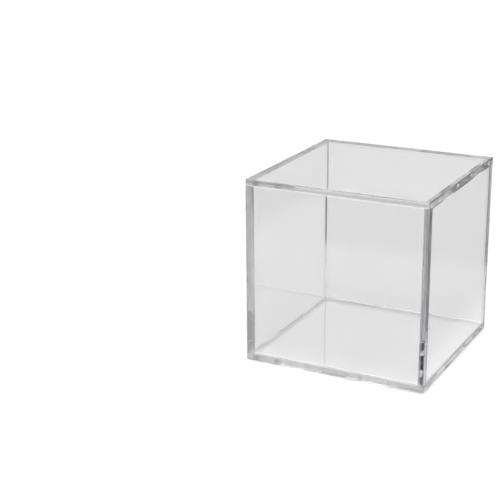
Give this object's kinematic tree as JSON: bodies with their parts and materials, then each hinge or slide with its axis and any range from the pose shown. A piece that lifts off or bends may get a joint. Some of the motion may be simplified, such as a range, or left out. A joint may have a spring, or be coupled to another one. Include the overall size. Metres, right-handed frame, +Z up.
{
  "type": "ball display case",
  "caption": "Clear plastic display cube for a collectible softball; the top and the front and back walls are one cover that lifts off the base, located by edge tabs and notches.",
  "frame": {"origin": "centre of the closed case's footprint, on the underside of the base plate", "axes": "+Z up; the cover's front wall faces -Y and its back wall +Y; the left wall faces -X and the right wall +X"},
  "size_m": [0.108, 0.108, 0.108],
  "materials": {
    "clear_plastic": "clear polished"
  },
  "bodies": {
    "base": {"base_plate": "clear_plastic", "left_wall": "clear_plastic", "right_wall": "clear_plastic"},
    "cover": {"cover": "clear_plastic"}
  },
  "joints": [
    {"name": "cover_lift", "type": "slide", "parent": "base", "child": "cover", "axis": [0, 0, 1], "range_m": [0, 0.12]}
  ]
}
